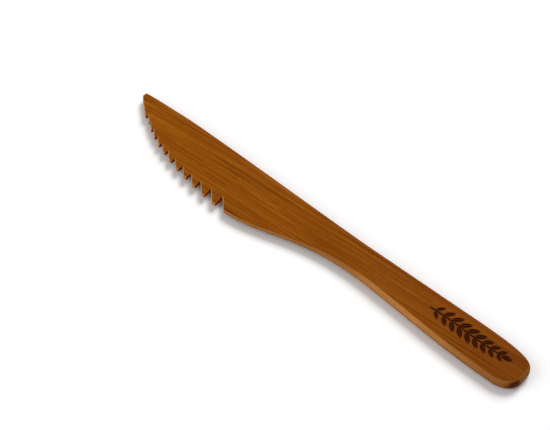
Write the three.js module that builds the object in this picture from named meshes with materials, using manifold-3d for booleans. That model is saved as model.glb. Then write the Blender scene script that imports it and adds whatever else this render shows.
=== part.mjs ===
// Bamboo table knife: three bamboo plies glued into one blank, which is sawn to outline, ground to a wedge,
// toothed along the cutting edge and rounded over along the back and handle.
import * as THREE from 'three';
import { mergeVertices } from 'three/addons/utils/BufferGeometryUtils.js';
import Module from 'manifold-3d';

const wasm = await Module();
wasm.setup();

// Driving dimensions in millimetres. A reach is measured along the knife from the tip, and a depth is
// measured down from the straight back of the handle towards the cutting edge.
const KNIFE_LENGTH = 150;
const FACE_PLY_THICKNESS = 1.2;
const CORE_PLY_THICKNESS = 1.6;
const BACK_ROUNDOVER = 1.3;
const HEEL_ROUNDOVER = 0.3;
const ROUNDOVER_SHARE_OF_HALF = 0.8;

// Back of the blade: a low arch from the blunt tip to the handle.
const TIP_RISE = 1.25;
const TIP_NOSE_HEIGHT = 2.0;
const TIP_NOSE_SET_BACK = 0.55;
const ARCH_FRONT_REACH = 18;
const ARCH_FRONT_RISE = 2.3;
const ARCH_REAR_REACH = 55;
const ARCH_REAR_RISE = 0.6;
const ARCH_END_REACH = 86;

// Cutting edge: a short bowed front, then a full belly to the heel, with the pull points of both curves.
const FRONT_BOW_REACH = 1.25;
const FRONT_BOW_DEPTH = 2.0;
const FRONT_REACH = 3.0;
const FRONT_DEPTH = 3.1;
const BELLY_FRONT_REACH = 9.2;
const BELLY_FRONT_DEPTH = 10.4;
const BELLY_REAR_REACH = 26.4;
const BELLY_REAR_DEPTH = 16.5;
const HEEL_REACH = 46.4;
const HEEL_DEPTH = 17.2;

// Underside: from the heel up to the waisted neck, then down to the grip.
const HEEL_SWEEP = 14;
const HEEL_SWEEP_RISE = 0.2;
const NECK_FRONT_SWEEP = 20;
const NECK_REACH = 88;
const NECK_DEPTH = 10.1;
const NECK_REAR_SWEEP = 18;
const GRIP_SWEEP = 25;
const GRIP_DEPTH = 13.25;
const GRIP_FROM_BUTT = 7;

// Butt: a short flat end between two round corners of different size.
const BUTT_TOP_DEPTH = 5.0;
const BUTT_BOTTOM_DEPTH = 8.0;
const BACK_DROP_FROM_BUTT = 22;
const UPPER_CORNER_FROM_BUTT = 4.5;
const UPPER_CORNER_DEPTH = 1.2;
const LOWER_CORNER_DEPTH = 11.1;
const LOWER_CORNER_FROM_BUTT = 3.2;

// Wedge grind: the thickness left at the cutting edge, and how much is gained for each millimetre from it.
// Behind the heel the grind runs out along the underside, slowly at first.
const EDGE_THICKNESS = 1.4;
const GRIND_TAPER = 0.2;
const GRIND_RUNOUT = 54;
const RUNOUT_POWER = 2;

// Teeth: gullets with a steep front wall and a sloped rear wall, which grow from the front to the heel. The
// front wall turns with the edge, by a share of the edge's slope, and is raked towards the tip.
const GULLET_COUNT = 12;
const FIRST_GULLET_FROM_FRONT = 2.9;
const PITCH_GROWTH = 2.0;
const FIRST_GULLET_DEPTH = 1.0;
const LAST_GULLET_DEPTH = 3.5;
const DEPTH_POWER = 2;
const WALL_TURN = 0.7;
const WALL_RAKE = THREE.MathUtils.degToRad(6);
const GULLET_SLOPE = THREE.MathUtils.degToRad(47);
const GULLET_NOSE = 0.35;

// How far a cutter reaches past what it cuts, and the stretch of the edge that gives its slope.
const CUTTER_MARGIN = 2;
const EDGE_PROBE = 1;

// Finish of the bamboo.
const FACE_PLY_COLOUR = 0x8b4a10;
const CORE_PLY_COLOUR = 0x9a5a22;
const BAMBOO_ROUGHNESS = 0.55;

// Fineness of the facets.
const CURVE_STEPS = 40;
const STATION_COUNT = 80;
const ROUNDOVER_STEPS = 5;
const WIDEST_EDGE_BAND = 1 / 3;
const FACE_STEPS = 7;
const NOSE_STEPS = 4;

const STOCK_THICKNESS = 2 * FACE_PLY_THICKNESS + CORE_PLY_THICKNESS;
const MID_HEIGHT = STOCK_THICKNESS / 2;

const point = (reach, depth) => new THREE.Vector2(reach, -depth);

// Outline curves, all running from the tip towards the butt.
const tipTop = point(TIP_NOSE_SET_BACK, -TIP_RISE);
const tipMiddle = point(0, TIP_NOSE_HEIGHT / 2 - TIP_RISE);
const tipBottom = point(TIP_NOSE_SET_BACK, TIP_NOSE_HEIGHT - TIP_RISE);
const frontEnd = point(FRONT_REACH, FRONT_DEPTH);
const heel = point(HEEL_REACH, HEEL_DEPTH);
const neck = point(NECK_REACH, NECK_DEPTH);
const grip = point(KNIFE_LENGTH - GRIP_FROM_BUTT, GRIP_DEPTH);
const buttTop = point(KNIFE_LENGTH, BUTT_TOP_DEPTH);
const buttBottom = point(KNIFE_LENGTH, BUTT_BOTTOM_DEPTH);
const archEnd = point(ARCH_END_REACH, 0);
const backDrop = point(KNIFE_LENGTH - BACK_DROP_FROM_BUTT, 0);

const backCurves = [
  new THREE.QuadraticBezierCurve(tipMiddle, point(0, -TIP_RISE), tipTop),
  new THREE.CubicBezierCurve(
    tipTop,
    point(ARCH_FRONT_REACH, -ARCH_FRONT_RISE),
    point(ARCH_REAR_REACH, -ARCH_REAR_RISE),
    archEnd,
  ),
  new THREE.LineCurve(archEnd, backDrop),
  new THREE.CubicBezierCurve(
    backDrop,
    point(KNIFE_LENGTH - UPPER_CORNER_FROM_BUTT, 0),
    point(KNIFE_LENGTH, UPPER_CORNER_DEPTH),
    buttTop,
  ),
];

const cuttingCurves = [
  new THREE.QuadraticBezierCurve(tipMiddle, point(0, TIP_NOSE_HEIGHT - TIP_RISE), tipBottom),
  new THREE.QuadraticBezierCurve(tipBottom, point(FRONT_BOW_REACH, FRONT_BOW_DEPTH), frontEnd),
  new THREE.CubicBezierCurve(
    frontEnd,
    point(BELLY_FRONT_REACH, BELLY_FRONT_DEPTH),
    point(BELLY_REAR_REACH, BELLY_REAR_DEPTH),
    heel,
  ),
];

const undersideCurves = [
  new THREE.CubicBezierCurve(
    heel,
    point(HEEL_REACH + HEEL_SWEEP, HEEL_DEPTH - HEEL_SWEEP_RISE),
    point(NECK_REACH - NECK_FRONT_SWEEP, NECK_DEPTH),
    neck,
  ),
  new THREE.CubicBezierCurve(
    neck,
    point(NECK_REACH + NECK_REAR_SWEEP, NECK_DEPTH),
    point(KNIFE_LENGTH - GRIP_FROM_BUTT - GRIP_SWEEP, GRIP_DEPTH),
    grip,
  ),
  new THREE.CubicBezierCurve(
    grip,
    point(KNIFE_LENGTH - LOWER_CORNER_FROM_BUTT, GRIP_DEPTH),
    point(KNIFE_LENGTH, LOWER_CORNER_DEPTH),
    buttBottom,
  ),
];

// Points along joined curves, with each shared end taken once.
function tracePoints(curves) {
  return curves.flatMap((curve, i) => curve.getPoints(CURVE_STEPS).slice(i > 0 ? 1 : 0));
}

const backLine = tracePoints(backCurves);
const cuttingLine = tracePoints(cuttingCurves);
const undersideLine = tracePoints(undersideCurves);
const lowerLine = [...cuttingLine, ...undersideLine.slice(1)];
const buttLine = [buttTop, buttBottom];
const outlineBox = new THREE.Box2().setFromPoints([...backLine, ...lowerLine]);
const outlineCentre = outlineBox.getCenter(new THREE.Vector2());
const outlineSize = outlineBox.getSize(new THREE.Vector2());

// Height of a traced line at a given reach.
function heightAt(line, reach) {
  const next = Math.max(1, line.findIndex((p) => p.x >= reach));
  const a = line[next - 1];
  const b = line[next];
  const share = b.x > a.x ? (reach - a.x) / (b.x - a.x) : 1;
  return THREE.MathUtils.lerp(a.y, b.y, THREE.MathUtils.clamp(share, 0, 1));
}

// Shortest distance from a point to a traced line.
function distanceTo(line, p) {
  const nearest = new THREE.Vector3();
  const target = new THREE.Vector3(p.x, p.y, 0);
  let best = Infinity;
  for (let i = 1; i < line.length; i += 1) {
    const a = new THREE.Vector3(line[i - 1].x, line[i - 1].y, 0);
    const b = new THREE.Vector3(line[i].x, line[i].y, 0);
    new THREE.Line3(a, b).closestPointToPoint(target, true, nearest);
    best = Math.min(best, nearest.distanceTo(target));
  }
  return best;
}

// How far a rounded-over edge lies below the flat face, at a distance in from the outline.
function roundoverDrop(radius, distance) {
  const inside = Math.max(0, radius - distance);
  return radius - Math.sqrt(radius * radius - inside * inside);
}

// The underside's roundover grows from the crisp heel to the neck.
function undersideRoundover(reach) {
  const share = THREE.MathUtils.smoothstep(reach, HEEL_REACH, NECK_REACH);
  return THREE.MathUtils.lerp(HEEL_ROUNDOVER, BACK_ROUNDOVER, share);
}

// Thickness that the grind leaves. It grows away from the cutting edge and, behind the heel, from the underside.
function groundThickness(p) {
  const runout = THREE.MathUtils.clamp((p.x - HEEL_REACH) / GRIND_RUNOUT, 0, 1) ** RUNOUT_POWER;
  const undersideThickness = THREE.MathUtils.lerp(EDGE_THICKNESS, STOCK_THICKNESS, runout);
  const fromEdge = EDGE_THICKNESS + GRIND_TAPER * distanceTo(cuttingLine, p);
  const fromUnderside = undersideThickness + GRIND_TAPER * distanceTo(undersideLine, p);
  return Math.min(STOCK_THICKNESS, fromEdge, fromUnderside);
}

// Half the thickness of the ground and rounded blank at a point of its outline or inside it.
function halfThickness(p) {
  const half = groundThickness(p) / 2;
  const widest = half * ROUNDOVER_SHARE_OF_HALF;
  const backRadius = Math.min(BACK_ROUNDOVER, widest);
  const undersideRadius = Math.min(undersideRoundover(p.x), widest);
  const backDistance = Math.min(distanceTo(backLine, p), distanceTo(buttLine, p));
  const drop = Math.max(
    roundoverDrop(backRadius, backDistance),
    roundoverDrop(undersideRadius, distanceTo(undersideLine, p)),
  );
  return half - drop;
}

// Reaches of the cross-sections, which close up towards the tip and the butt, where the outline turns most.
function stationReaches() {
  const turns = Array.from({ length: STATION_COUNT + 1 }, (_, i) => (Math.PI * i) / STATION_COUNT);
  return turns.map((turn) => (KNIFE_LENGTH * (1 - Math.cos(turn))) / 2);
}

// Heights across one section: round steps over both rounded edges, and even steps across the face.
function sectionHeights(low, high) {
  const band = Math.min(BACK_ROUNDOVER, (high - low) * WIDEST_EDGE_BAND);
  const quarter = Math.PI / 2 / ROUNDOVER_STEPS;
  const rounds = Array.from({ length: ROUNDOVER_STEPS }, (_, i) => band * (1 - Math.cos(quarter * i)));
  const face = high - low - 2 * band;
  const evens = Array.from({ length: FACE_STEPS + 1 }, (_, i) => band + (face * i) / FACE_STEPS);
  const tops = rounds.toReversed().map((inset) => high - low - inset);
  return [...rounds, ...evens, ...tops].map((rise) => low + rise);
}

// The blank before toothing: a loft of cross-sections from the tip to the butt.
function loftBlank() {
  const stations = stationReaches();
  const across = FACE_STEPS + 1 + 2 * ROUNDOVER_STEPS;
  const ring = 2 * across;
  const positions = [];
  const triangles = [];
  for (const reach of stations) {
    const low = heightAt(lowerLine, reach);
    const high = heightAt(backLine, reach);
    const section = sectionHeights(low, high).map((height) => new THREE.Vector2(reach, height));
    const halves = section.map(halfThickness);
    section.forEach((p, i) => positions.push(p.x, p.y, MID_HEIGHT - halves[i]));
    section.toReversed().forEach((p, i) => positions.push(p.x, p.y, MID_HEIGHT + halves.at(-1 - i)));
  }
  for (let s = 0; s + 1 < stations.length; s += 1) {
    for (let i = 0; i < ring; i += 1) {
      const a = s * ring + i;
      const b = s * ring + ((i + 1) % ring);
      triangles.push(a, b + ring, a + ring, a, b, b + ring);
    }
  }
  const last = (stations.length - 1) * ring;
  for (let i = 0; i + 1 < across; i += 1) {
    const j = ring - 1 - i;
    triangles.push(i, j - 1, i + 1, i, j, j - 1);
    triangles.push(last + i, last + i + 1, last + j - 1, last + i, last + j - 1, last + j);
  }
  const blank = new THREE.BufferGeometry();
  blank.setAttribute('position', new THREE.Float32BufferAttribute(positions, 3));
  blank.setIndex(triangles);
  return blank;
}

// A closed three.js geometry as a solid that can be joined and cut.
function toSolid(geometry) {
  const bare = geometry.clone();
  bare.deleteAttribute('normal');
  bare.deleteAttribute('uv');
  const merged = mergeVertices(bare);
  return new wasm.Manifold(new wasm.Mesh({
    numProp: 3,
    vertProperties: new Float32Array(merged.attributes.position.array),
    triVerts: new Uint32Array(merged.index.array),
  }));
}

// A joined or cut solid as a three.js geometry.
function toGeometry(solid) {
  const mesh = solid.getMesh();
  const geometry = new THREE.BufferGeometry();
  geometry.setAttribute('position', new THREE.BufferAttribute(new Float32Array(mesh.vertProperties), 3));
  geometry.setIndex(new THREE.BufferAttribute(new Uint32Array(mesh.triVerts), 1));
  geometry.computeVertexNormals();
  return geometry;
}

// Lean of a gullet's front wall from upright, towards the butt.
function wallLean(reach) {
  const drop = heightAt(cuttingLine, reach - EDGE_PROBE) - heightAt(cuttingLine, reach);
  return WALL_TURN * Math.atan2(drop, EDGE_PROBE) - WALL_RAKE;
}

// Where each gullet's front wall meets the edge. The pitch grows evenly, and the last slope runs out at the heel.
function gulletReaches() {
  const heelSlope = (HEEL_DEPTH - BELLY_REAR_DEPTH) / (HEEL_REACH - BELLY_REAR_REACH);
  const first = FRONT_REACH + FIRST_GULLET_FROM_FRONT;
  const lastRun = 1 / (Math.tan(GULLET_SLOPE) - heelSlope) + Math.tan(wallLean(HEEL_REACH));
  const last = HEEL_REACH - LAST_GULLET_DEPTH * lastRun;
  const gaps = GULLET_COUNT - 1;
  const shares = Array.from({ length: gaps }, (_, i) => i / (gaps - 1));
  const weights = shares.map((share) => THREE.MathUtils.lerp(1, PITCH_GROWTH, share));
  const total = weights.reduce((sum, weight) => sum + weight, 0);
  const reaches = [first];
  for (const weight of weights) {
    reaches.push(reaches.at(-1) + (weight / total) * (last - first));
  }
  return reaches;
}

// The cutter for one gullet: steep front wall, small round nose, sloped rear wall, open below the edge.
function gulletCutter(reach, depth) {
  const edge = heightAt(cuttingLine, reach);
  const lean = wallLean(reach);
  const apex = new THREE.Vector2(reach + depth * Math.tan(lean), edge + depth);
  const reachDown = 2 * depth + CUTTER_MARGIN;
  const floor = apex.y - reachDown;
  const slopeNose = [GULLET_NOSE * Math.cos(GULLET_SLOPE), GULLET_NOSE * Math.sin(GULLET_SLOPE)];
  const wallNose = [GULLET_NOSE * Math.sin(lean), GULLET_NOSE * Math.cos(lean)];
  const profile = new THREE.Shape();
  profile.moveTo(apex.x - reachDown * Math.tan(lean), floor);
  profile.lineTo(apex.x + reachDown / Math.tan(GULLET_SLOPE), floor);
  profile.lineTo(apex.x + slopeNose[0], apex.y - slopeNose[1]);
  profile.quadraticCurveTo(apex.x, apex.y, apex.x - wallNose[0], apex.y - wallNose[1]);
  profile.closePath();
  const cutter = new THREE.ExtrudeGeometry(profile, {
    depth: STOCK_THICKNESS + 2 * CUTTER_MARGIN,
    bevelEnabled: false,
    curveSegments: NOSE_STEPS,
  });
  return cutter.translate(0, 0, -CUTTER_MARGIN);
}

// A slab a little larger than the outline, which holds one ply's share of the thickness.
function plySlab(lowHeight, thickness) {
  const length = outlineSize.x + 2 * CUTTER_MARGIN;
  const width = outlineSize.y + 2 * CUTTER_MARGIN;
  const slab = new THREE.BoxGeometry(length, width, thickness);
  return slab.translate(outlineCentre.x, outlineCentre.y, lowHeight + thickness / 2);
}

// The knife's whole form, before it is divided into its plies.
let knife = toSolid(loftBlank());
gulletReaches().forEach((reach, i) => {
  const share = (i / (GULLET_COUNT - 1)) ** DEPTH_POWER;
  const depth = THREE.MathUtils.lerp(FIRST_GULLET_DEPTH, LAST_GULLET_DEPTH, share);
  knife = knife.subtract(toSolid(gulletCutter(reach, depth)));
});

// One ply of the knife, from its lower glue line to its upper one.
function ply(name, lowHeight, thickness, colour) {
  const solid = knife.intersect(toSolid(plySlab(lowHeight, thickness)));
  const material = new THREE.MeshStandardMaterial({
    color: colour,
    roughness: BAMBOO_ROUGHNESS,
    metalness: 0,
  });
  const mesh = new THREE.Mesh(toGeometry(solid), material);
  mesh.name = name;
  return mesh;
}

const bambooKnife = new THREE.Group();
bambooKnife.add(
  ply('lower_face_ply', 0, FACE_PLY_THICKNESS, FACE_PLY_COLOUR),
  ply('core_ply', FACE_PLY_THICKNESS, CORE_PLY_THICKNESS, CORE_PLY_COLOUR),
  ply('upper_face_ply', FACE_PLY_THICKNESS + CORE_PLY_THICKNESS, FACE_PLY_THICKNESS, FACE_PLY_COLOUR),
);

// The origin lies under the middle of the knife, on the surface that it rests on.
bambooKnife.position.set(-outlineCentre.x, -outlineCentre.y, 0);

export default bambooKnife;
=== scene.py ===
"""Bamboo table knife, dressed for a white studio.

The three plies are sanded as one blank and sliced apart again at their glue planes. They get a
carbonised bamboo finish that also carries painted light and shade on its sides, edges and ends, and a
leaf sprig is burnt into the handle.
"""

import math

import bpy
import numpy as np
from mathutils import Color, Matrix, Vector
from mathutils.geometry import interpolate_bezier
from mathutils.kdtree import KDTree


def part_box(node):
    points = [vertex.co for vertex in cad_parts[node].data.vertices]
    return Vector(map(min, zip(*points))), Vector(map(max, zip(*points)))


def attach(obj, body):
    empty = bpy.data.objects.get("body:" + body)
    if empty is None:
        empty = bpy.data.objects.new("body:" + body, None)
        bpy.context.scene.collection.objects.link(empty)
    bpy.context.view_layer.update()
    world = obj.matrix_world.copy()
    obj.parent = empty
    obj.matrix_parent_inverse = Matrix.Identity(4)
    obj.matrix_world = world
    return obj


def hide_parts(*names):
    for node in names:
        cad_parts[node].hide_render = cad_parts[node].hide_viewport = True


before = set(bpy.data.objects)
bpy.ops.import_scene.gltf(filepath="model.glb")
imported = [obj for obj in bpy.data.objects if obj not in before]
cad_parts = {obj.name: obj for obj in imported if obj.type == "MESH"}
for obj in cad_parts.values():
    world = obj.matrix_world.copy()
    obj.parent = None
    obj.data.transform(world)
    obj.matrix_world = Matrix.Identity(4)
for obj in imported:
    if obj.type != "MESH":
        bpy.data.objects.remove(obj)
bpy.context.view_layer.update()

bl_info = {
    "name": "Bamboo Table Knife",
    "version": (1, 0, 0),
    "blender": (4, 5, 0),
    "location": "View3D > Sidebar > Bamboo Knife",
    "description": "Sands, slices, finishes and stages a toothed bamboo table knife",
    "category": "Add Mesh",
}

MM = 0.001

LOWER_NODE = "lower_face_ply"
CORE_NODE = "core_ply"
UPPER_NODE = "upper_face_ply"
LOWER_GLUE_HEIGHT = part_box(CORE_NODE)[0].z
UPPER_GLUE_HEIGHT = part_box(CORE_NODE)[1].z
FACE_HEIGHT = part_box(UPPER_NODE)[1].z
BUTT_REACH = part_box(CORE_NODE)[1].x

BLANK_NAME = "sanded_blank"
UPPER_PLY_NAME = "sanded_upper_ply"
FACE_MATERIAL = "Carbonised bamboo face"
CORE_MATERIAL = "Carbonised bamboo core"
CHAR_MATERIAL = "Charred bamboo"
EDGE_PROUDNESS_ATTRIBUTE = "edge_proudness"
SCORCH_ATTRIBUTE = "scorch"
SCREEN_WHITE = 255


def srgb(red, green, blue):
    """A colour in screen levels from 0 to 255, as the linear values that shaders take."""
    screen = Color((red / SCREEN_WHITE, green / SCREEN_WHITE, blue / SCREEN_WHITE))
    return tuple(screen.from_srgb_to_scene_linear())


# Settings that a user would change

def length_setting(name, description, default):
    """A length in metres, shown in the scene's units."""
    return bpy.props.FloatProperty(
        name=name, description=description, default=default, unit="LENGTH", precision=6
    )


def share_setting(name, description, default):
    """A plain number from 0 to 1."""
    return bpy.props.FloatProperty(
        name=name, description=description, default=default, min=0.0, max=1.0, subtype="FACTOR"
    )


def level_setting(name, description, default):
    """A plain number of 0 or more."""
    return bpy.props.FloatProperty(name=name, description=description, default=default, min=0.0)


def angle_setting(name, description, degrees):
    """An angle, given in degrees and kept in radians."""
    return bpy.props.FloatProperty(
        name=name, description=description, default=math.radians(degrees), unit="ROTATION"
    )


def colour_setting(name, description, default):
    """A colour in linear values."""
    return bpy.props.FloatVectorProperty(
        name=name, description=description, default=default, size=3, min=0.0, max=1.0, subtype="COLOR"
    )


class SandingSettings(bpy.types.PropertyGroup):
    """How the glued blank is sanded."""

    grain_size: length_setting("Facet size", "Spacing of the sanded blank's facets", 0.16 * MM)
    passes: bpy.props.IntProperty(
        name="Passes", description="How often the paper goes over every edge", default=3, min=0
    )
    # The spread widens both the rubbed edges with their painted highlights and the painted shade in
    # hollows
    edge_mark_spread: bpy.props.IntProperty(
        name="Wear spread", description="How many facets the rubbed edges are wide", default=2, min=0
    )


class BambooSettings(bpy.types.PropertyGroup):
    """The colours and fibres of the carbonised bamboo."""

    dark_fibre: colour_setting("Dark fibre", "Darkest streaks of the face", srgb(102, 46, 2))
    face: colour_setting("Face", "Usual colour of the face", srgb(140, 76, 8))
    light_fibre: colour_setting("Light fibre", "Lightest streaks of the face", srgb(170, 106, 24))
    # The side colour is partly the paler sanded sides and partly painted light
    side: colour_setting("Side", "Sanded sides, cut along the fibres", srgb(226, 154, 82))
    # End grain is partly its own dark colour and partly painted shade; it also paints the shade in
    # hollows
    end_grain_and_shade: colour_setting("End grain", "Gullets cut across the fibres", srgb(136, 55, 5))
    # The butt's end grain is partly dark with oil and partly painted shade
    butt_grain_and_shade: colour_setting("Butt grain", "End grain of the butt, dark with oil", srgb(88, 36, 5))
    # Rubbed edges are partly real wear and partly painted highlights
    rubbed_edge_and_highlight: colour_setting("Rubbed edge", "Edges that the paper has opened", srgb(226, 166, 108))
    glue: colour_setting("Glue", "Hairline of glue between two plies", srgb(70, 32, 10))
    streak_width: length_setting("Streak width", "Width of the streaks of colour", 0.7 * MM)
    streak_length: length_setting("Streak length", "Length of the streaks of colour", 44 * MM)
    line_spacing: length_setting("Line spacing", "Usual gap between two dark growth lines", 1.2 * MM)
    line_length: length_setting("Line length", "How far a growth line runs before it bends", 60 * MM)
    fibre_width: length_setting("Fibre width", "Width of the single fibres", 0.34 * MM)
    fibre_length: length_setting("Fibre length", "Length of the single fibres", 26 * MM)
    fibre_relief: length_setting("Fibre relief", "Height of the fibres over the pores", 0.02 * MM)
    roughness: share_setting("Roughness", "Roughness of the oiled face", 0.5)
    specular: share_setting("Specular level", "Strength of the oiled face's reflections", 0.015)


class SprigSettings(bpy.types.PropertyGroup):
    """The leaf sprig that is burnt into the handle."""

    from_butt: length_setting("From butt", "Gap between the sprig's tip and the butt", 5.6 * MM)
    length: length_setting("Length", "Length of the whole sprig", 29 * MM)
    height: length_setting("Place across", "Height of the stem over the part's middle line", 2.1 * MM)
    sway: length_setting("Sway", "How far the stem bends to each side", 0.7 * MM)
    stem_width: length_setting("Stem width", "Width of the stem's burnt line", 0.4 * MM)
    depth: length_setting("Depth", "Depth of the burnt recess", 0.2 * MM)
    leaf_pairs: bpy.props.IntProperty(
        name="Leaf pairs", description="Pairs of leaves along the stem", default=9, min=1
    )
    leaf_length: length_setting("Leaf length", "Length of the longest leaf", 3.7 * MM)
    leaf_width: length_setting("Leaf width", "Width of the longest leaf", 1.45 * MM)
    midrib: length_setting("Midrib", "Width of the unburnt rib in the longest leaf", 0.16 * MM)
    root_angle: angle_setting("Root angle", "Slant of the leaves at the sprig's root", 46)
    tip_angle: angle_setting("Tip angle", "Slant of the leaves at the sprig's tip", 33)
    scorch_reach: length_setting("Scorch reach", "Width of the browned rim of the recess", 0.55 * MM)
    char: colour_setting("Char", "Burnt ground of the recess", srgb(82, 30, 6))
    char_dark: colour_setting("Dark char", "Deepest burnt fibres", srgb(48, 16, 2))
    scorched: colour_setting("Scorched", "Browned bamboo around the recess", srgb(84, 38, 8))


class StageSettings(bpy.types.PropertyGroup):
    """The camera, the lamps and the floor."""

    azimuth: angle_setting("Azimuth", "Turn of the camera round the knife", 39.895)
    elevation: angle_setting("Elevation", "Height of the camera over the horizon", 54.75)
    distance: length_setting("Distance", "Distance of the camera from its aim point", 877 * MM)
    aim_along: length_setting("Aim along", "Aim point's place along the knife", -16.80 * MM)
    aim_across: length_setting("Aim across", "Aim point's place across the knife", 0.495 * MM)
    lens: bpy.props.FloatProperty(
        name="Lens", description="Focal length on a 36 mm sensor", default=193.78, unit="CAMERA"
    )
    sky_level: level_setting("Sky level", "Light of the white room on a level face", 0.37)
    key_level: level_setting("Key level", "Light of the rear lamp on a level face", 0.51)
    fill_level: level_setting("Fill level", "Light of the front lamp on a level face", 0.15)
    floor_tone: share_setting("Floor tone", "Share of light that the floor gives back", 0.8)


# Modelling helpers

def select_only(piece):
    """Selects one object alone and makes it the active one."""
    bpy.ops.object.select_all(action="DESELECT")
    piece.select_set(True)
    bpy.context.view_layer.objects.active = piece


def add_piece(name, mesh):
    """Puts a mesh into the scene as a new object, selected alone."""
    piece = bpy.data.objects.new(name, mesh)
    bpy.context.scene.collection.objects.link(piece)
    select_only(piece)
    return piece


def join_pieces(pieces, name):
    """Joins objects into the first of them."""
    bpy.ops.object.select_all(action="DESELECT")
    for piece in pieces:
        piece.select_set(True)
    bpy.context.view_layer.objects.active = pieces[0]
    bpy.ops.object.join()
    pieces[0].name = name
    return pieces[0]


def apply_modifier(piece, kind, **settings):
    """Adds a modifier to a piece, sets it up and applies it."""
    select_only(piece)
    modifier = piece.modifiers.new(kind.title(), kind)
    for setting, value in settings.items():
        setattr(modifier, setting, value)
    bpy.ops.object.modifier_apply(modifier=modifier.name)


def resize(piece, scale):
    """Scales a piece about the origin, in its mesh."""
    select_only(piece)
    piece.scale = (scale, scale, scale)
    bpy.ops.object.transform_apply(location=False, rotation=False, scale=True)


def merge_points(piece, gap):
    """Welds a mesh's loose triangles and turns all its faces outwards."""
    select_only(piece)
    bpy.ops.object.mode_set(mode="EDIT")
    bpy.ops.mesh.select_all(action="SELECT")
    bpy.ops.mesh.remove_doubles(threshold=gap)
    bpy.ops.mesh.normals_make_consistent(inside=False)
    bpy.ops.object.mode_set(mode="OBJECT")


def read_array(items, field, width, kind):
    """One field of all of a mesh's points or edges, a row for each."""
    values = np.empty(len(items) * width, kind)
    items.foreach_get(field, values)
    return values.reshape(-1, width)


def store_values(mesh, name, values):
    """Keeps a number for each point of a mesh, for a material to read."""
    attribute = mesh.attributes.get(name) or mesh.attributes.new(name, "FLOAT", "POINT")
    attribute.data.foreach_set("value", values.astype(np.float32))


# The sanded blank and its plies

# The blank is worked on in millimetres, because Blender's own tolerances are too wide for metres
BENCH_SCALE = 1000
WELD_GAP = 0.002
SANDING_STRENGTH = 0.5
# How proud of its neighbours a point stands when its edge mark is full, as a share of the facet size
PROUDNESS_SCALE = 0.22
SHARP_ANGLE = math.radians(60)


def neighbour_mean(values, edges, counts):
    """The mean of each point's neighbours, for a number that every point has."""
    total = np.bincount(edges[:, 0], values[edges[:, 1]], len(values))
    total += np.bincount(edges[:, 1], values[edges[:, 0]], len(values))
    return total / counts


def mark_edges_and_hollows(blank, facet, width):
    """Stores how far each point stands proud of its neighbours: over 0 on edges, under 0 in corners.
    The edges get a rubbed colour with painted highlights, the corners painted shade.
    """
    mesh = blank.data
    points = read_array(mesh.vertices, "co", 3, np.float32).astype(float)
    normals = read_array(mesh.vertices, "normal", 3, np.float32)
    edges = read_array(mesh.edges, "vertices", 2, np.int32)
    counts = np.bincount(edges.ravel(), minlength=len(points))
    means = np.column_stack([neighbour_mean(points[:, axis], edges, counts) for axis in range(3)])
    proud = ((points - means) * normals).sum(axis=1) / (PROUDNESS_SCALE * facet)
    for _ in range(width):
        proud = (proud + neighbour_mean(proud, edges, counts)) / 2
    store_values(mesh, EDGE_PROUDNESS_ATTRIBUTE, np.clip(proud, -1, 1))


class KNIFE_OT_sand_blank(bpy.types.Operator):
    """Glue copies of the plies into one blank and round all its edges, as sandpaper does"""

    bl_idname = "bamboo_knife.sand_blank"
    bl_label = "Sand the Blank"

    def execute(self, context):
        sanding = context.scene.knife_sanding
        copies = []
        for node in (CORE_NODE, LOWER_NODE, UPPER_NODE):
            copy = add_piece("blank_of_" + node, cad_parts[node].data.copy())
            resize(copy, BENCH_SCALE)
            merge_points(copy, WELD_GAP)
            copies.append(copy)
        blank = join_pieces(copies, BLANK_NAME)
        blank.data.materials.clear()
        facet = sanding.grain_size * BENCH_SCALE
        apply_modifier(blank, "REMESH", mode="VOXEL", voxel_size=facet, use_smooth_shade=True)
        apply_modifier(blank, "SMOOTH", factor=SANDING_STRENGTH, iterations=sanding.passes)
        mark_edges_and_hollows(blank, facet, sanding.edge_mark_spread)
        return {"FINISHED"}


def cut_level(piece, height, keep_above):
    """Cuts a piece at a level plane, closes the cut and keeps one side of it."""
    select_only(piece)
    bpy.ops.object.mode_set(mode="EDIT")
    bpy.ops.mesh.select_all(action="SELECT")
    bpy.ops.mesh.bisect(
        plane_co=(0, 0, height * BENCH_SCALE), plane_no=(0, 0, 1), use_fill=True,
        clear_inner=keep_above, clear_outer=not keep_above,
    )
    bpy.ops.object.mode_set(mode="OBJECT")


def slice_ply(name, node, material, above=None, below=None):
    """Slices one ply out of the sanded blank, where its CAD node lies between the glue planes."""
    blank = bpy.data.objects.get(BLANK_NAME)
    if blank is None:
        raise RuntimeError("sand the blank before slicing a ply out of it")
    ply = add_piece(name, blank.data.copy())
    if above is not None:
        cut_level(ply, above, keep_above=True)
    if below is not None:
        cut_level(ply, below, keep_above=False)
    resize(ply, 1 / BENCH_SCALE)
    ply.data.materials.append(material)
    bpy.ops.object.shade_smooth_by_angle(angle=SHARP_ANGLE)
    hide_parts(node)
    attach(ply, "root")
    return ply


class KNIFE_OT_core_ply(bpy.types.Operator):
    """Slice the core ply, which carries every tooth point, out of the sanded blank"""

    bl_idname = "bamboo_knife.core_ply"
    bl_label = "Core Ply"

    def execute(self, context):
        scene = context.scene
        material = bamboo_material(CORE_MATERIAL, scene.knife_bamboo, scene.knife_sprig)
        slice_ply(
            "sanded_core_ply", CORE_NODE, material,
            above=LOWER_GLUE_HEIGHT, below=UPPER_GLUE_HEIGHT,
        )
        return {"FINISHED"}


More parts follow.
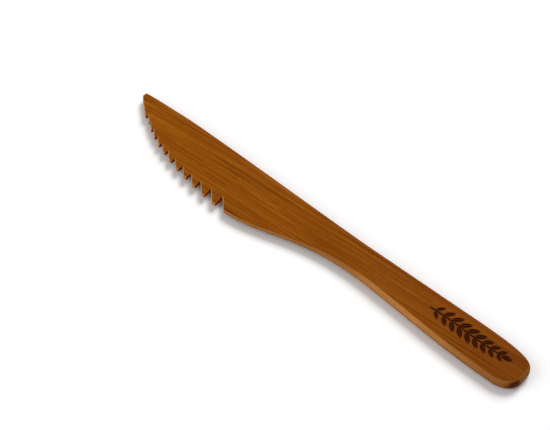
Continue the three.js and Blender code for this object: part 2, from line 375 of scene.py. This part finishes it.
class KNIFE_OT_face_plies(bpy.types.Operator):
    """Slice the two face plies, ground to a feather edge along the teeth, out of the sanded blank"""

    bl_idname = "bamboo_knife.face_plies"
    bl_label = "Face Plies"

    def execute(self, context):
        scene = context.scene
        material = bamboo_material(FACE_MATERIAL, scene.knife_bamboo, scene.knife_sprig)
        slice_ply("sanded_lower_ply", LOWER_NODE, material, below=LOWER_GLUE_HEIGHT)
        slice_ply(UPPER_PLY_NAME, UPPER_NODE, material, above=UPPER_GLUE_HEIGHT)
        bpy.data.objects.remove(bpy.data.objects[BLANK_NAME])
        return {"FINISHED"}


# The burnt sprig

LEAF_STEPS = 10
STEM_STEPS = 32
# How far out and how far along the leaf the handles of its bowed outline stand
LEAF_BOW = 4 / 3
LEAF_SHOULDER = 0.22
LEAF_WAIST = 0.7
SMALLEST_LEAF = 0.62
LARGEST_LEAF_AT = 0.4
LEAF_STEM_GAP = 0.14 * MM
CUTTER_HEADROOM = 0.3 * MM
SCORCH_POWER = 2


def flat_curve(name, depth, steps):
    """A new two-point flat curve with a thickness, and its spline."""
    bpy.ops.object.select_all(action="DESELECT")
    bpy.ops.curve.primitive_bezier_curve_add()
    shape = bpy.context.object
    shape.name = name
    shape.data.dimensions = "2D"
    shape.data.fill_mode = "BOTH"
    shape.data.extrude = depth / 2
    shape.data.resolution_u = steps
    return shape, shape.data.splines[0]


def place_handles(point, place, before, after):
    """Puts a curve's point and its two handles in place."""
    point.handle_left_type = "FREE"
    point.handle_right_type = "FREE"
    point.co = place
    point.handle_left = before
    point.handle_right = after


def half_leaf(sprig, depth, side):
    """One half of the longest leaf, along +X from its root: straight at the midrib, bowed outside."""
    leaf, spline = flat_curve("half_leaf", depth, LEAF_STEPS)
    spline.use_cyclic_u = True
    length = sprig.leaf_length
    third = length / 3
    inner = side * sprig.midrib / 2
    outer = inner + side * LEAF_BOW * (sprig.leaf_width - sprig.midrib) / 2
    root, tip = spline.bezier_points
    place_handles(root, (0, inner, 0), (third, inner, 0), (length * LEAF_SHOULDER, outer, 0))
    place_handles(tip, (length, inner, 0), (length * LEAF_WAIST, outer, 0), (length - third, inner, 0))
    bpy.ops.object.convert(target="MESH")
    return leaf


def stem_ends(sprig):
    """The stem's two ends and their handles, which sway it to one side and back."""
    right = BUTT_REACH - sprig.from_butt - sprig.leaf_length
    left = BUTT_REACH - sprig.from_butt - sprig.length
    third = (right - left) / 3
    root = Vector((left, sprig.height, 0))
    tip = Vector((right, sprig.height, 0))
    return root, root + Vector((third, sprig.sway, 0)), tip - Vector((third, sprig.sway, 0)), tip


def make_stem(sprig, depth):
    """The stem: a swaying ribbon on its edge, given its width."""
    stem, spline = flat_curve("stem", depth, STEM_STEPS)
    root, root_handle, tip_handle, tip = stem_ends(sprig)
    first, last = spline.bezier_points
    place_handles(first, root, 2 * root - root_handle, root_handle)
    place_handles(last, tip, tip_handle, 2 * tip - tip_handle)
    bpy.ops.object.convert(target="MESH")
    apply_modifier(stem, "SOLIDIFY", thickness=sprig.stem_width, offset=0)
    return stem


def place_leaf(pattern, root, angle, size):
    """A copy of the pattern leaf with its own mesh, turned and sized about its root."""
    leaf = add_piece("leaf", pattern.data.copy())
    leaf.location = root
    leaf.rotation_euler = (0, 0, angle)
    leaf.scale = (size, size, 1)
    bpy.ops.object.transform_apply(location=True, rotation=True, scale=True)
    return leaf


def leaf_size(share):
    """A leaf's size beside the longest one, at its share of the way along the stem."""
    span = LARGEST_LEAF_AT if share < LARGEST_LEAF_AT else 1 - LARGEST_LEAF_AT
    away = (share - LARGEST_LEAF_AT) / span
    return 1 - (1 - SMALLEST_LEAF) * away * away


def make_sprig_cutter(sprig):
    """The sprig as closed solids that reach from the recess's ground to over the face."""
    depth = sprig.depth + CUTTER_HEADROOM
    pattern = join_pieces([half_leaf(sprig, depth, 1), half_leaf(sprig, depth, -1)], "leaf_pattern")
    line = interpolate_bezier(*stem_ends(sprig), STEM_STEPS * sprig.leaf_pairs + 1)
    solids = [make_stem(sprig, depth)]
    for pair in range(sprig.leaf_pairs):
        share = (pair + 0.5) / sprig.leaf_pairs
        step = round(share * (len(line) - 1))
        along = line[min(step + 1, len(line) - 1)] - line[step - 1]
        heading = math.atan2(along.y, along.x)
        slant = sprig.root_angle + (sprig.tip_angle - sprig.root_angle) * share
        clear = (sprig.stem_width / 2 + LEAF_STEM_GAP) / math.sin(slant)
        for side in (1, -1):
            angle = heading + side * slant
            root = line[step] + clear * Vector((math.cos(angle), math.sin(angle), 0))
            solids.append(place_leaf(pattern, root, angle, leaf_size(share)))
    tip = line[-1] + Vector((LEAF_STEM_GAP, 0, 0))
    heading = line[-1] - line[-2]
    solids.append(place_leaf(pattern, tip, math.atan2(heading.y, heading.x), 1))
    bpy.data.objects.remove(pattern)
    cutter = join_pieces(solids, "sprig_cutter")
    cutter.location.z = FACE_HEIGHT - sprig.depth + depth / 2
    bpy.ops.object.transform_apply(location=True, rotation=True, scale=True)
    merge_points(cutter, WELD_GAP * MM)
    return cutter


def mark_scorch(ply, sprig, char_slot):
    """Stores how brown the heat has made each point round the recess, from 0 to 1."""
    mesh = ply.data
    points = read_array(mesh.vertices, "co", 3, np.float32)
    burnt_faces = [face for face in mesh.polygons if face.material_index == char_slot]
    burnt = sorted({index for face in burnt_faces for index in face.vertices})
    if not burnt:
        raise RuntimeError("the sprig's cutter missed the upper ply")
    tree = KDTree(len(burnt))
    for index in burnt:
        tree.insert(points[index], index)
    tree.balance()
    low = points[burnt].min(axis=0) - sprig.scorch_reach
    high = points[burnt].max(axis=0) + sprig.scorch_reach
    near = np.flatnonzero(((points > low) & (points < high)).all(axis=1))
    scorch = np.zeros(len(points))
    for index in near:
        _, _, gap = tree.find(points[index])
        scorch[index] = max(0.0, 1 - gap / sprig.scorch_reach) ** SCORCH_POWER
    store_values(mesh, SCORCH_ATTRIBUTE, scorch)


class KNIFE_OT_burnt_sprig(bpy.types.Operator):
    """Burn a shallow leaf sprig into the upper ply's handle"""

    bl_idname = "bamboo_knife.burnt_sprig"
    bl_label = "Burnt Sprig"

    def execute(self, context):
        sprig = context.scene.knife_sprig
        ply = bpy.data.objects.get(UPPER_PLY_NAME)
        if ply is None:
            raise RuntimeError("slice the face plies before burning the sprig")
        cutter = make_sprig_cutter(sprig)
        cutter.data.materials.append(char_material(CHAR_MATERIAL, context.scene.knife_bamboo, sprig))
        apply_modifier(
            ply, "BOOLEAN", operation="DIFFERENCE", solver="MANIFOLD",
            object=cutter, material_mode="TRANSFER",
        )
        bpy.data.objects.remove(cutter)
        mark_scorch(ply, sprig, ply.data.materials.find(CHAR_MATERIAL))
        select_only(ply)
        bpy.ops.object.shade_smooth_by_angle(angle=SHARP_ANGLE)
        return {"FINISHED"}


# Shader helpers

# Places of the colour sockets among a Mix node's inputs and outputs
MIX_FIRST = 6
MIX_SECOND = 7
MIX_RESULT = 2
NOISE_MIDDLE = 0.5
# Upward part of the surface's facing where a side begins, and where it is all side. The side begins at
# a slight tilt, so that its pale colour paints light onto roundovers turned away from the rear lamp
SIDE_TILT = (0.99, 0.69)


def feed(tree, socket, source):
    """Links another node's output to a socket, or sets the socket to a plain value."""
    if isinstance(source, bpy.types.NodeSocket):
        tree.links.new(source, socket)
    else:
        socket.default_value = source


def calculate(tree, operation, *sources):
    """A Math node fed with sockets or numbers."""
    node = tree.nodes.new("ShaderNodeMath")
    node.operation = operation
    for socket, source in zip(node.inputs, sources):
        feed(tree, socket, source)
    return node.outputs["Value"]


def product(tree, first, *others):
    """Values multiplied together."""
    for other in others:
        first = calculate(tree, "MULTIPLY", first, other)
    return first


def rest_of(tree, share):
    """What a share leaves of 1."""
    return calculate(tree, "SUBTRACT", 1.0, share)


def rise(tree, value, start, end):
    """A smooth step from 0 to 1 as a value goes from start to end."""
    node = tree.nodes.new("ShaderNodeMapRange")
    node.interpolation_type = "SMOOTHSTEP"
    feed(tree, node.inputs["Value"], value)
    feed(tree, node.inputs["From Min"], start)
    feed(tree, node.inputs["From Max"], end)
    return node.outputs["Result"]


def spread(tree, value, low, high):
    """A value from 0 to 1, spread over another range."""
    node = tree.nodes.new("ShaderNodeMapRange")
    feed(tree, node.inputs["Value"], value)
    feed(tree, node.inputs["To Min"], low)
    feed(tree, node.inputs["To Max"], high)
    return node.outputs["Result"]


def mix_colours(tree, share, first, second):
    """A colour between two others."""
    node = tree.nodes.new("ShaderNodeMix")
    node.data_type = "RGBA"
    feed(tree, node.inputs["Factor"], share)
    for index, source in ((MIX_FIRST, first), (MIX_SECOND, second)):
        feed(tree, node.inputs[index], source)
    return node.outputs[MIX_RESULT]


def opaque(colour):
    """A colour with its alpha."""
    return (*colour, 1.0)


def colour_run(tree, value, stops):
    """A colour ramp through (place, colour) stops."""
    node = tree.nodes.new("ShaderNodeValToRGB")
    elements = node.color_ramp.elements
    while len(elements) < len(stops):
        elements.new(1.0)
    for element, (place, colour) in zip(elements, stops):
        element.position = place
        element.color = opaque(colour)
    feed(tree, node.inputs["Fac"], value)
    return node.outputs["Color"]


def drawn_noise(tree, vector, cell, detail):
    """Noise from 0 to 1 in cells of a length along the knife and a width across it."""
    length, width = cell
    mapping = tree.nodes.new("ShaderNodeMapping")
    feed(tree, mapping.inputs["Vector"], vector)
    mapping.inputs["Scale"].default_value = (1 / length, 1 / width, 1 / width)
    noise = tree.nodes.new("ShaderNodeTexNoise")
    noise.inputs["Scale"].default_value = 1.0
    noise.inputs["Detail"].default_value = detail
    feed(tree, noise.inputs["Vector"], mapping.outputs["Vector"])
    return noise.outputs["Fac"]


def swing(tree, noise):
    """Noise from 0 to 1, moved to swing round 0."""
    return calculate(tree, "SUBTRACT", noise, NOISE_MIDDLE)


def point_value(tree, name):
    """A number that was stored for each point of the mesh."""
    node = tree.nodes.new("ShaderNodeAttribute")
    node.attribute_name = name
    return node.outputs["Fac"]


def new_group(name, inputs, outputs):
    """An empty shader node group with named number sockets, and its inputs and outputs."""
    tree = bpy.data.node_groups.new(name, "ShaderNodeTree")
    for label, default in inputs:
        socket = tree.interface.new_socket(label, in_out="INPUT", socket_type="NodeSocketFloat")
        socket.default_value = default
    for label in outputs:
        tree.interface.new_socket(label, in_out="OUTPUT", socket_type="NodeSocketFloat")
    given = tree.nodes.new("NodeGroupInput").outputs
    made = tree.nodes.new("NodeGroupOutput").inputs
    return tree, given, made


def place_group(tree, group, **values):
    """Places a node group in a material with its own values."""
    node = tree.nodes.new("ShaderNodeGroup")
    node.node_tree = group
    for label, value in values.items():
        feed(tree, node.inputs[label], value)
    return node.outputs


def object_place(tree):
    """The point's place on the part, in metres."""
    return tree.nodes.new("ShaderNodeTexCoord").outputs["Object"]


def split(tree, vector):
    """The X, Y and Z of a vector."""
    parts = tree.nodes.new("ShaderNodeSeparateXYZ")
    feed(tree, parts.inputs["Vector"], vector)
    return parts.outputs


def facing_parts(tree):
    """The X, Y and Z of the way that the surface faces."""
    return split(tree, tree.nodes.new("ShaderNodeTexCoord").outputs["Normal"])


def upright_share(tree):
    """0 on the level and ground faces, 1 on the upright sides."""
    return rise(tree, calculate(tree, "ABSOLUTE", facing_parts(tree)["Z"]), *SIDE_TILT)


# Node groups that the finishes share

# Slope of the fibres along the knife, how far they wander, and how little they change under a face
GRAIN_SLOPE = 0.036
WANDER_REACH = 0.7 * MM
STREAK_DEPTH_SHARE = 0.2
# Cells of noise: length along the knife, width across it
WANDER_CELL = (75 * MM, 40 * MM)
BROAD_CELL = (110 * MM, 4.2 * MM)
FLECK_CELL = (1.6 * MM, 0.3 * MM)
VESSEL_CELL = (24 * MM, 0.62 * MM)
LINE_FADE_CELL = (22 * MM, 1.5 * MM)
SPECK_CELL = (2.5 * MM, 0.8 * MM)
# Levels of noise or of the edge mark over which lines, vessels, rubbed edges with their painted
# highlights and the painted shade in hollows fade in
LINE_WIDTH = 0.06
LINE_FADE = (0.36, 0.6)
VESSEL_FADE = (0.62, 0.76)
RUBBED_HIGHLIGHT_FADE = (0.12, 0.6)
HOLLOW_SHADE_FADE = (0.1, 0.5)
# Tone of the face's usual colour, and the share of the handle's darkness that the neck has
USUAL_TONE = 0.5
NECK_SHARE = 0.46
# Stretches of the knife over which its tone or its sides change; towards the butt the sides' pale
# colour fades as painted shade
NECK_DARKENS = (-16 * MM, 4 * MM)
GRIP_DARKENS = (32 * MM, BUTT_REACH)
WAIST_STARTS = (-29 * MM, -27 * MM)
WAIST_ENDS = (-5 * MM, 30 * MM)
PAINTED_SIDE_SHADE_REACH = (35 * MM, BUTT_REACH)
BUTT_END_REACH = (64 * MM, 70 * MM)
# Heights over which the sides lighten, as painted light that leaves their lower part in painted shade,
# and gaps to a glue plane over which its line fades
PAINTED_SIDE_LIGHT_HEIGHTS = (0.2 * MM, 2.8 * MM)
GLUE_LINE_FADES = (0.015 * MM, 0.05 * MM)
# Parts of the surface's facing over which the back's painted shade, the ends and the gullets begin, and
# where the butt end turns up towards the rear lamp and keeps its painted light
BACK_SHADE_TILT = (0.05, 0.6)
BUTT_END_TILT = (0.35, 0.8)
TIP_END_TILT = (0.8, 1.0)
GULLET_TILT = (0.06, 0.3)
LIT_BUTT_TURN = (-0.4, 0.1)


def fibre_group(bamboo):
    """Bamboo fibres along the knife: a tone round 0.5, dark lines, dark vessels and a height."""
    name = "Bamboo fibres"
    if name in bpy.data.node_groups:
        return bpy.data.node_groups[name]
    tree, given, made = new_group(
        name,
        (
            ("Broad", 0.26), ("Streaks", 0.75), ("Fibres", 0.8), ("Flecks", 0.3),
            ("Handle darkness", 0.31), ("Handle contrast", 0.45),
        ),
        ("Tone", "Lines", "Vessels", "Height"),
    )
    place = object_place(tree)
    parts = split(tree, place)
    wander = swing(tree, drawn_noise(tree, place, WANDER_CELL, 0))
    across = calculate(tree, "MULTIPLY_ADD", wander, WANDER_REACH, parts["Y"])
    across = calculate(tree, "MULTIPLY_ADD", parts["X"], -GRAIN_SLOPE, across)
    deep = product(tree, parts["Z"], spread(tree, upright_share(tree), STREAK_DEPTH_SHARE, 1.0))
    grown = tree.nodes.new("ShaderNodeCombineXYZ")
    for axis, source in (("X", parts["X"]), ("Y", across), ("Z", deep)):
        feed(tree, grown.inputs[axis], source)
    grain = grown.outputs["Vector"]
    fibres = drawn_noise(tree, grain, (bamboo.fibre_length, bamboo.fibre_width), 1)
    layers = {
        "Broad": drawn_noise(tree, grain, BROAD_CELL, 1),
        "Streaks": drawn_noise(tree, grain, (bamboo.streak_length, bamboo.streak_width), 1),
        "Fibres": fibres,
        "Flecks": drawn_noise(tree, grain, FLECK_CELL, 0),
    }
    uneven = 0.0
    for label, noise in layers.items():
        uneven = calculate(tree, "MULTIPLY_ADD", swing(tree, noise), given[label], uneven)
    neck = product(tree, rise(tree, parts["X"], *NECK_DARKENS), NECK_SHARE)
    grip = rise(tree, parts["X"], *GRIP_DARKENS)
    handle = calculate(tree, "MULTIPLY_ADD", grip, 1 - NECK_SHARE, neck)
    butt_tone = calculate(tree, "SUBTRACT", USUAL_TONE, given["Handle darkness"])
    usual = spread(tree, handle, USUAL_TONE, butt_tone)
    contrast = spread(tree, handle, 1.0, given["Handle contrast"])
    feed(tree, made["Tone"], calculate(tree, "MULTIPLY_ADD", uneven, contrast, usual))
    off = swing(tree, drawn_noise(tree, grain, (bamboo.line_length, bamboo.line_spacing), 1))
    lines = rest_of(tree, rise(tree, calculate(tree, "ABSOLUTE", off), 0.0, LINE_WIDTH))
    shown = rise(tree, drawn_noise(tree, grain, LINE_FADE_CELL, 1), *LINE_FADE)
    feed(tree, made["Lines"], product(tree, lines, shown, contrast))
    vessels = rise(tree, drawn_noise(tree, grain, VESSEL_CELL, 0), *VESSEL_FADE)
    feed(tree, made["Vessels"], vessels)
    feed(tree, made["Height"], calculate(tree, "SUBTRACT", fibres, vessels))
    return tree


def cut_group():
    """Where the bamboo is cut along or across its fibres, and where its waist and glue lines are. The
    side, back and end masks also follow the lamps, as painted light and shade.
    """
    name = "Cut of the bamboo"
    if name in bpy.data.node_groups:
        return bpy.data.node_groups[name]
    tree, given, made = new_group(
        name,
        (
            ("Shaded low side", 0.3), ("Blade side", 0.8), ("Waist side", 0.74), ("Shaded butt side", 0.57),
            ("Lit butt", 0.72),
        ),
        ("Side", "Back", "End", "Butt", "Gullet", "Waist", "Glue line"),
    )
    facing = facing_parts(tree)
    place = split(tree, object_place(tree))
    upright = upright_share(tree)
    # Mask of the back's roundover, which is darkened as painted shade
    back = rise(tree, facing["Y"], *BACK_SHADE_TILT)
    at_grip = rise(tree, place["X"], *WAIST_ENDS)
    waist = calculate(tree, "SUBTRACT", rise(tree, place["X"], *WAIST_STARTS), at_grip)
    # The sides' pale colour is partly painted light: weaker low down and towards the butt as painted
    # shade, weaker on the blade and at the waist, and left off the back
    side_shares = (
        spread(tree, rise(tree, place["Z"], *PAINTED_SIDE_LIGHT_HEIGHTS), given["Shaded low side"], 1.0),
        spread(tree, rise(tree, place["X"], *PAINTED_SIDE_SHADE_REACH), 1.0, given["Shaded butt side"]),
        spread(tree, at_grip, given["Blade side"], 1.0),
        spread(tree, waist, 1.0, given["Waist side"]),
        rest_of(tree, back),
    )
    butt = rise(tree, place["X"], *BUTT_END_REACH)
    to_tip = product(tree, facing["X"], -1.0)
    # The ends' dark colour is partly end grain and partly painted shade on faces turned from the lamps
    ends = (rise(tree, facing["X"], *BUTT_END_TILT), rise(tree, to_tip, *TIP_END_TILT))
    # Where the butt end turns up towards the rear lamp it keeps a lighter colour: painted light
    lit_butt = product(tree, butt, rise(tree, facing["Y"], *LIT_BUTT_TURN), given["Lit butt"])
    gaps = []
    for height in (LOWER_GLUE_HEIGHT, UPPER_GLUE_HEIGHT):
        gaps.append(calculate(tree, "ABSOLUTE", calculate(tree, "SUBTRACT", place["Z"], height)))
    off_glue = rise(tree, calculate(tree, "MINIMUM", *gaps), *GLUE_LINE_FADES)
    results = {
        "Side": product(tree, upright, *side_shares),
        "Back": back,
        "End": product(tree, calculate(tree, "MAXIMUM", *ends), rest_of(tree, lit_butt)),
        "Butt": butt,
        "Gullet": product(tree, rise(tree, facing["X"], *GULLET_TILT), rest_of(tree, butt)),
        "Waist": waist,
        "Glue line": product(tree, rest_of(tree, off_glue), upright),
    }
    for label, result in results.items():
        feed(tree, made[label], result)
    return tree


def edge_and_hollow_group():
    """Edges that sanding has opened, partly real wear and partly painted highlights, broken up by a
    fine noise, and painted shade in hollow corners.
    """
    name = "Sanded wear"
    if name in bpy.data.node_groups:
        return bpy.data.node_groups[name]
    tree, given, made = new_group(name, (("Unevenness", 0.5),), ("Rubbed", "Hollow shade"))
    # The edge mark: over 0 for rubbed edges with painted highlights, under 0 for painted shade in
    # hollows
    wear = point_value(tree, EDGE_PROUDNESS_ATTRIBUTE)
    speck = swing(tree, drawn_noise(tree, object_place(tree), SPECK_CELL, 2))
    uneven = calculate(tree, "MULTIPLY_ADD", speck, given["Unevenness"], 1.0)
    feed(tree, made["Rubbed"], product(tree, rise(tree, wear, *RUBBED_HIGHLIGHT_FADE), uneven))
    # Hollows darkened as painted shade
    feed(tree, made["Hollow shade"], rise(tree, product(tree, wear, -1.0), *HOLLOW_SHADE_FADE))
    return tree


# Materials

# Share of a colour where its mask is full. A pair runs from the dark fibres to the light ones
DARK_LINE_SHARE = 0.5
SIDE_SHARES = (0.55, 1.0)
BACK_SHADE_SHARE = 0.4
END_SHARES = (1.1, 0.8)
HOLLOW_SHADE_SHARE = 0.6
GLUE_SHARE = 0.4
SCORCH_SHARE = 0.85
# Share of the rubbed colour, partly a painted highlight, on edges along the fibres, and how much of it
# the waist keeps
OPEN_EDGE_SHARE = 0.8
WAIST_EDGE_SHARE = 0.35
# What the fibres take from the roughness, and what the vessels add to it
ADDED_ROUGHNESS = (-0.04, 0.12)
FIBRE_BUMP = 0.5
CHAR_FIBRES = 1.2
CHAR_TONES = (0.25, 0.75)
CHAR_ROUGHNESS = (0.75, 0.95)
CRUST_CELL = (0.5 * MM, 0.25 * MM)
CRUST_RELIEF = 0.04 * MM
CRUST_BUMP = 0.6


def start_material(name):
    """A new material with its node tree and Principled shader."""
    material = bpy.data.materials.new(name)
    material.use_nodes = True
    return material, material.node_tree, material.node_tree.nodes["Principled BSDF"]


def add_relief(tree, shader, height, depth, strength):
    """Bumps a shader by a height from 0 to 1 that stands for a real depth."""
    bump = tree.nodes.new("ShaderNodeBump")
    bump.inputs["Strength"].default_value = strength
    bump.inputs["Distance"].default_value = depth
    feed(tree, bump.inputs["Height"], height)
    feed(tree, shader.inputs["Normal"], bump.outputs["Normal"])


def bamboo_material(name, bamboo, sprig):
    """Oiled carbonised bamboo: streaked on the faces, paler at the sides and dark at the ends. The pale
    sides and rubbed edges are partly painted light, the dark ends partly painted shade, and the dark
    back edge and hollows painted shade.
    """
    material, tree, shader = start_material(name)
    fibres = place_group(tree, fibre_group(bamboo))
    cut = place_group(tree, cut_group())
    # The edge marks carry the rubbed edges with painted highlights and the painted shade in hollows
    wear = place_group(tree, edge_and_hollow_group())
    tone = fibres["Tone"]
    stops = ((0.0, bamboo.dark_fibre), (USUAL_TONE, bamboo.face), (1.0, bamboo.light_fibre))
    colour = colour_run(tree, tone, stops)
    dark = calculate(tree, "MAXIMUM", fibres["Lines"], fibres["Vessels"])
    end_colour = mix_colours(tree, cut["Butt"], opaque(bamboo.end_grain_and_shade), opaque(bamboo.butt_grain_and_shade))
    closed_edge = calculate(tree, "MAXIMUM", cut["End"], cut["Gullet"])
    open_edge = spread(tree, closed_edge, OPEN_EDGE_SHARE, 0.0)
    waist_edge = spread(tree, cut["Waist"], 1.0, WAIST_EDGE_SHARE)
    layers = (
        (product(tree, dark, DARK_LINE_SHARE), opaque(bamboo.dark_fibre)),
        # Paler sides: partly their own colour, partly painted light
        (product(tree, cut["Side"], spread(tree, tone, *SIDE_SHARES)), opaque(bamboo.side)),
        # Darker back edge: painted shade
        (product(tree, cut["Back"], BACK_SHADE_SHARE), opaque(bamboo.dark_fibre)),
        # Dark ends: partly end grain, partly painted shade
        (product(tree, cut["End"], spread(tree, tone, *END_SHARES)), end_colour),
        # Rubbed edges: partly real wear, partly painted highlights
        (product(tree, wear["Rubbed"], open_edge, waist_edge), opaque(bamboo.rubbed_edge_and_highlight)),
        # Darker hollows: painted shade
        (product(tree, wear["Hollow shade"], HOLLOW_SHADE_SHARE), opaque(bamboo.end_grain_and_shade)),
        (product(tree, cut["Glue line"], GLUE_SHARE), opaque(bamboo.glue)),
        (product(tree, point_value(tree, SCORCH_ATTRIBUTE), SCORCH_SHARE), opaque(sprig.scorched)),
    )
    for share, layer_colour in layers:
        colour = mix_colours(tree, share, colour, layer_colour)
    feed(tree, shader.inputs["Base Color"], colour)
    roughness = [bamboo.roughness + added for added in ADDED_ROUGHNESS]
    feed(tree, shader.inputs["Roughness"], spread(tree, fibres["Vessels"], *roughness))
    shader.inputs["Specular IOR Level"].default_value = bamboo.specular
    add_relief(tree, shader, fibres["Height"], bamboo.fibre_relief, FIBRE_BUMP)
    return material


def char_material(name, bamboo, sprig):
    """Burnt bamboo: dull, with the fibres still showing as dark lines."""
    material, tree, shader = start_material(name)
    fibres = place_group(tree, fibre_group(bamboo), Fibres=CHAR_FIBRES)
    crust = drawn_noise(tree, object_place(tree), CRUST_CELL, 2)
    tone = calculate(tree, "ADD", fibres["Tone"], swing(tree, crust))
    stops = tuple(zip(CHAR_TONES, (sprig.char_dark, sprig.char)))
    feed(tree, shader.inputs["Base Color"], colour_run(tree, tone, stops))
    feed(tree, shader.inputs["Roughness"], spread(tree, crust, *CHAR_ROUGHNESS))
    shader.inputs["Specular IOR Level"].default_value = bamboo.specular
    add_relief(tree, shader, crust, CRUST_RELIEF, CRUST_BUMP)
    return material


# The stage

FLOOR_SIZE = 6.0
FLOOR_DROP = 0.02 * MM
KEY_AZIMUTH = math.radians(190)
KEY_ELEVATION = math.radians(47)
KEY_SIZE = 1.15
FILL_AZIMUTH = math.radians(-40)
FILL_ELEVATION = math.radians(38)
FILL_SIZE = 1.6
LAMP_DISTANCE = 2.5
CLIP_SHARE = 0.01


def direction(azimuth, elevation):
    """The way from the knife to a camera or lamp: azimuth 0 stands on the -Y side."""
    level = math.cos(elevation)
    return Vector((math.sin(azimuth) * level, -math.cos(azimuth) * level, math.sin(elevation)))


def turn_back(towards):
    """The turn of a camera or lamp that looks back at the knife."""
    return (-towards).to_track_quat("-Z", "Y").to_euler()


def lamp_share(size):
    """The share of a facing point's view that a square lamp fills."""
    half = size / 2 / LAMP_DISTANCE
    slant = math.hypot(1, half)
    return 4 / math.pi * half / slant * math.atan(half / slant)


def add_lamp(name, azimuth, elevation, size, level):
    """A square soft lamp that lights a level white face to the given level."""
    towards = direction(azimuth, elevation)
    bpy.ops.object.light_add(type="AREA", location=towards * LAMP_DISTANCE)
    lamp = bpy.context.object
    lamp.name = name
    lamp.rotation_euler = turn_back(towards)
    lamp.data.size = size
    lamp.data.energy = level * math.pi * size ** 2 / (lamp_share(size) * math.sin(elevation))


def seen_directly(tree):
    """1 for rays that show the background: from the camera, a reflection or through glass."""
    path = tree.nodes.new("ShaderNodeLightPath").outputs
    reflected = calculate(tree, "MAXIMUM", path["Is Glossy Ray"], path["Is Transmission Ray"])
    return calculate(tree, "MAXIMUM", path["Is Camera Ray"], reflected)


def floor_material(stage):
    """A floor that looks plain white, keeps the knife's shadow and throws back a little less light."""
    material, tree, shader = start_material("White floor")
    feed(tree, shader.inputs["Base Color"], spread(tree, seen_directly(tree), stage.floor_tone, 1.0))
    shader.inputs["Roughness"].default_value = 1.0
    shader.inputs["Specular IOR Level"].default_value = 0.0
    return material


def light_room(stage):
    """An even white room that looks plain white and lights the knife at the sky level."""
    world = bpy.data.worlds.new("White room")
    world.use_nodes = True
    tree = world.node_tree
    background = tree.nodes["Background"]
    background.inputs["Color"].default_value = (1, 1, 1, 1)
    level = spread(tree, seen_directly(tree), stage.sky_level, 1.0)
    feed(tree, background.inputs["Strength"], level)
    bpy.context.scene.world = world


class KNIFE_OT_stage(bpy.types.Operator):
    """Set up the white floor, the soft lamps and the camera"""

    bl_idname = "bamboo_knife.stage"
    bl_label = "White Stage"

    def execute(self, context):
        stage = context.scene.knife_stage
        bpy.ops.object.select_all(action="DESELECT")
        bpy.ops.mesh.primitive_plane_add(size=FLOOR_SIZE, location=(0, 0, -FLOOR_DROP))
        floor = context.object
        floor.name = "floor"
        floor.data.materials.append(floor_material(stage))
        light_room(stage)
        add_lamp("rear_lamp", KEY_AZIMUTH, KEY_ELEVATION, KEY_SIZE, stage.key_level)
        add_lamp("front_lamp", FILL_AZIMUTH, FILL_ELEVATION, FILL_SIZE, stage.fill_level)
        towards = direction(stage.azimuth, stage.elevation)
        aim = Vector((stage.aim_along, stage.aim_across, 0))
        bpy.ops.object.camera_add(location=aim + towards * stage.distance, rotation=turn_back(towards))
        camera = context.object
        camera.name = "camera"
        camera.data.lens = stage.lens
        camera.data.clip_start = stage.distance * CLIP_SHARE
        context.scene.camera = camera
        context.scene.view_settings.view_transform = "Standard"
        return {"FINISHED"}


# The add-on's panel and registration

class KNIFE_PT_panel(bpy.types.Panel):
    """Lists the knife's making in order, with its settings"""

    bl_label = "Bamboo Knife"
    bl_idname = "KNIFE_PT_panel"
    bl_space_type = "VIEW_3D"
    bl_region_type = "UI"
    bl_category = "Bamboo Knife"

    def draw(self, context):
        for settings, operators in PANEL_ROWS:
            box = self.layout.box()
            for operator in operators:
                box.operator(operator.bl_idname)
            group = getattr(context.scene, settings)
            for field in group.bl_rna.properties.keys():
                if field not in ("rna_type", "name"):
                    box.prop(group, field)


SETTINGS = {
    "knife_sanding": SandingSettings,
    "knife_bamboo": BambooSettings,
    "knife_sprig": SprigSettings,
    "knife_stage": StageSettings,
}
PANEL_ROWS = (
    ("knife_sanding", (KNIFE_OT_sand_blank,)),
    ("knife_bamboo", (KNIFE_OT_core_ply, KNIFE_OT_face_plies)),
    ("knife_sprig", (KNIFE_OT_burnt_sprig,)),
    ("knife_stage", (KNIFE_OT_stage,)),
)
OPERATORS = tuple(operator for _, operators in PANEL_ROWS for operator in operators)


def register():
    """Registers the settings, the operators and the panel."""
    for name, group in SETTINGS.items():
        bpy.utils.register_class(group)
        setattr(bpy.types.Scene, name, bpy.props.PointerProperty(type=group))
    for cls in (*OPERATORS, KNIFE_PT_panel):
        bpy.utils.register_class(cls)


def unregister():
    """Takes away what register added, last first."""
    for cls in (KNIFE_PT_panel, *reversed(OPERATORS)):
        bpy.utils.unregister_class(cls)
    for name, group in reversed(SETTINGS.items()):
        delattr(bpy.types.Scene, name)
        bpy.utils.unregister_class(group)


def main():
    """Makes the knife and its stage."""
    register()
    bpy.ops.bamboo_knife.sand_blank()
    bpy.ops.bamboo_knife.core_ply()
    bpy.ops.bamboo_knife.face_plies()
    bpy.ops.bamboo_knife.burnt_sprig()
    bpy.ops.bamboo_knife.stage()


if __name__ == "__main__":
    main()
